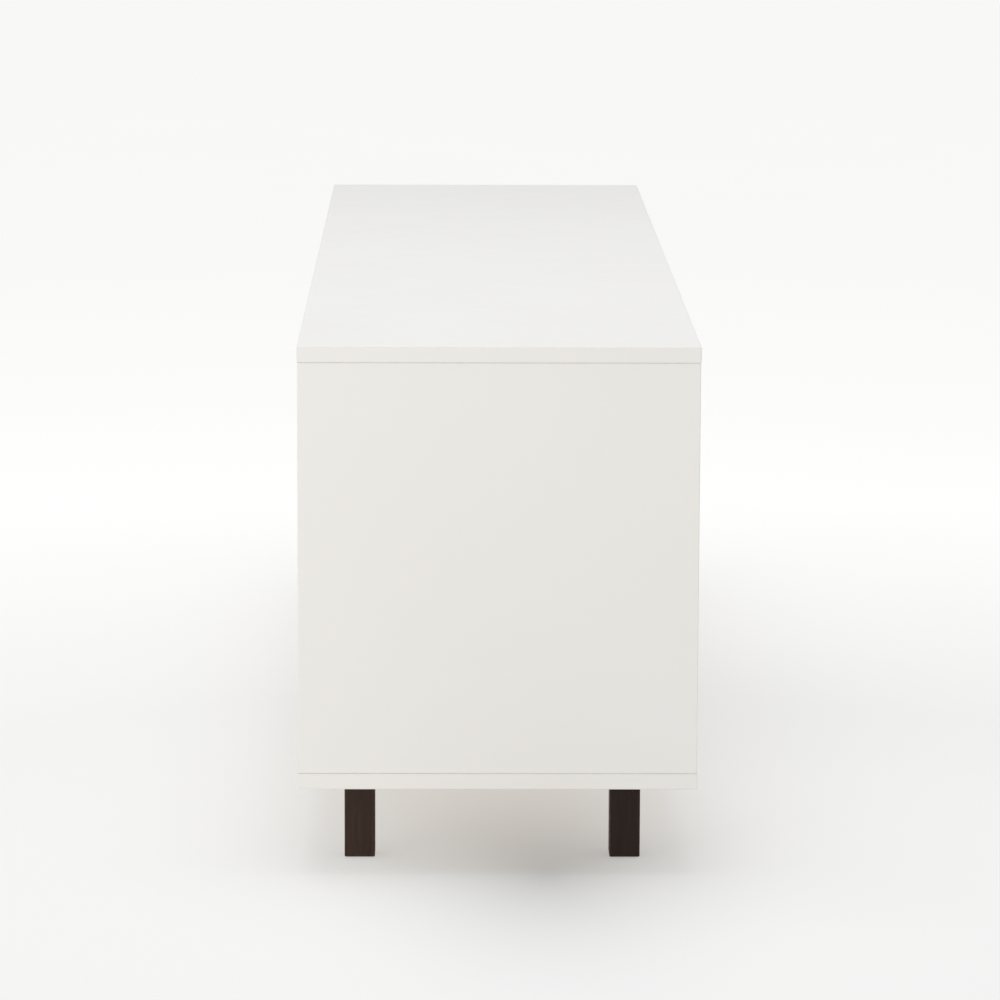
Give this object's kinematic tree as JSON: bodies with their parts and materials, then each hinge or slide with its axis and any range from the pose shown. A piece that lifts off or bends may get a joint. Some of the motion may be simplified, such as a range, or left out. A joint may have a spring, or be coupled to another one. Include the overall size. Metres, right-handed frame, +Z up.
{
  "type": "tv stand with doors",
  "caption": "Long low cabinet on square legs for a television, with an open bay with a shelf in the middle and an inset push-to-open door at each end.",
  "frame": {"origin": "on the floor under the middle of the cabinet", "axes": "+X along the cabinet's length, the doors face -Y, +Z up"},
  "size_m": [1.6, 0.4, 0.536],
  "materials": {
    "white_lacquer": "satin",
    "white_backing": "matte",
    "dark_stained_wood": "satin",
    "raw_beech": "matte",
    "zinc": "satin",
    "cast_zinc": "satin",
    "black_steel": "matte",
    "spring_steel": "satin",
    "magnet": "polished",
    "light_plastic": "satin",
    "nylon": "satin",
    "dark_plastic": "matte"
  },
  "bodies": {
    "cabinet": {"top_board": "white_lacquer", "bottom_board": "white_lacquer", "side_panel_left": "white_lacquer", "side_panel_right": "white_lacquer", "divider_left": "white_lacquer", "divider_right": "white_lacquer", "back_panel_left": "white_backing", "back_panel_middle": "white_backing", "back_panel_right": "white_backing", "cable_grommet_left": "light_plastic", "cable_grommet_middle": "light_plastic", "cable_grommet_right": "light_plastic", "shelf_left": "white_lacquer", "shelf_middle": "white_lacquer", "shelf_right": "white_lacquer", "shelf_pins": "zinc", "cam_locks": "cast_zinc", "cam_bolts": "zinc", "dowels": "raw_beech", "leg_front_left": "dark_stained_wood", "leg_front_right": "dark_stained_wood", "leg_back_left": "dark_stained_wood", "leg_back_right": "dark_stained_wood", "leg_centre": "dark_stained_wood", "leg_plate_front_left": "black_steel", "leg_plate_front_right": "black_steel", "leg_plate_back_left": "black_steel", "leg_plate_back_right": "black_steel", "leg_plate_centre": "black_steel", "glide_front_left": "dark_plastic", "glide_front_right": "dark_plastic", "glide_back_left": "dark_plastic", "glide_back_right": "dark_plastic", "glide_centre": "dark_plastic", "leg_bolts": "zinc", "leg_plate_screws": "zinc", "latch_screws": "zinc", "pivot_bush_left_top": "nylon", "pivot_bush_left_bottom": "nylon", "pivot_bush_right_top": "nylon", "pivot_bush_right_bottom": "nylon", "latch_housing_left": "light_plastic", "latch_housing_right": "light_plastic", "latch_spring_left": "spring_steel", "latch_spring_right": "spring_steel"},
    "door_left": {"door_left": "white_lacquer", "pivot_plate_left_top": "zinc", "pivot_plate_left_bottom": "zinc", "pivot_screws_left": "zinc", "latch_strike_left": "zinc"},
    "door_right": {"door_right": "white_lacquer", "pivot_plate_right_top": "zinc", "pivot_plate_right_bottom": "zinc", "pivot_screws_right": "zinc", "latch_strike_right": "zinc"},
    "latch_plunger_left": {"latch_plunger_left": "light_plastic", "latch_magnet_left": "magnet"},
    "latch_plunger_right": {"latch_plunger_right": "light_plastic", "latch_magnet_right": "magnet"}
  },
  "joints": [
    {"name": "door_left_hinge", "type": "hinge", "parent": "cabinet", "child": "door_left", "pos_m": [-0.769, -0.1915, 0.3125], "axis": [0, 0, -1], "range_deg": [0, 110]},
    {"name": "door_right_hinge", "type": "hinge", "parent": "cabinet", "child": "door_right", "pos_m": [0.769, -0.1915, 0.3125], "axis": [0, 0, 1], "range_deg": [0, 110]},
    {"name": "latch_left_press", "type": "slide", "parent": "cabinet", "child": "latch_plunger_left", "axis": [0, 1, 0], "range_m": [0, 0.003], "stiffness_N_per_m": 300, "springref_m": -0.002, "deforming": ["latch_spring_left"]},
    {"name": "latch_right_press", "type": "slide", "parent": "cabinet", "child": "latch_plunger_right", "axis": [0, 1, 0], "range_m": [0, 0.003], "stiffness_N_per_m": 300, "springref_m": -0.002, "deforming": ["latch_spring_right"]}
  ]
}
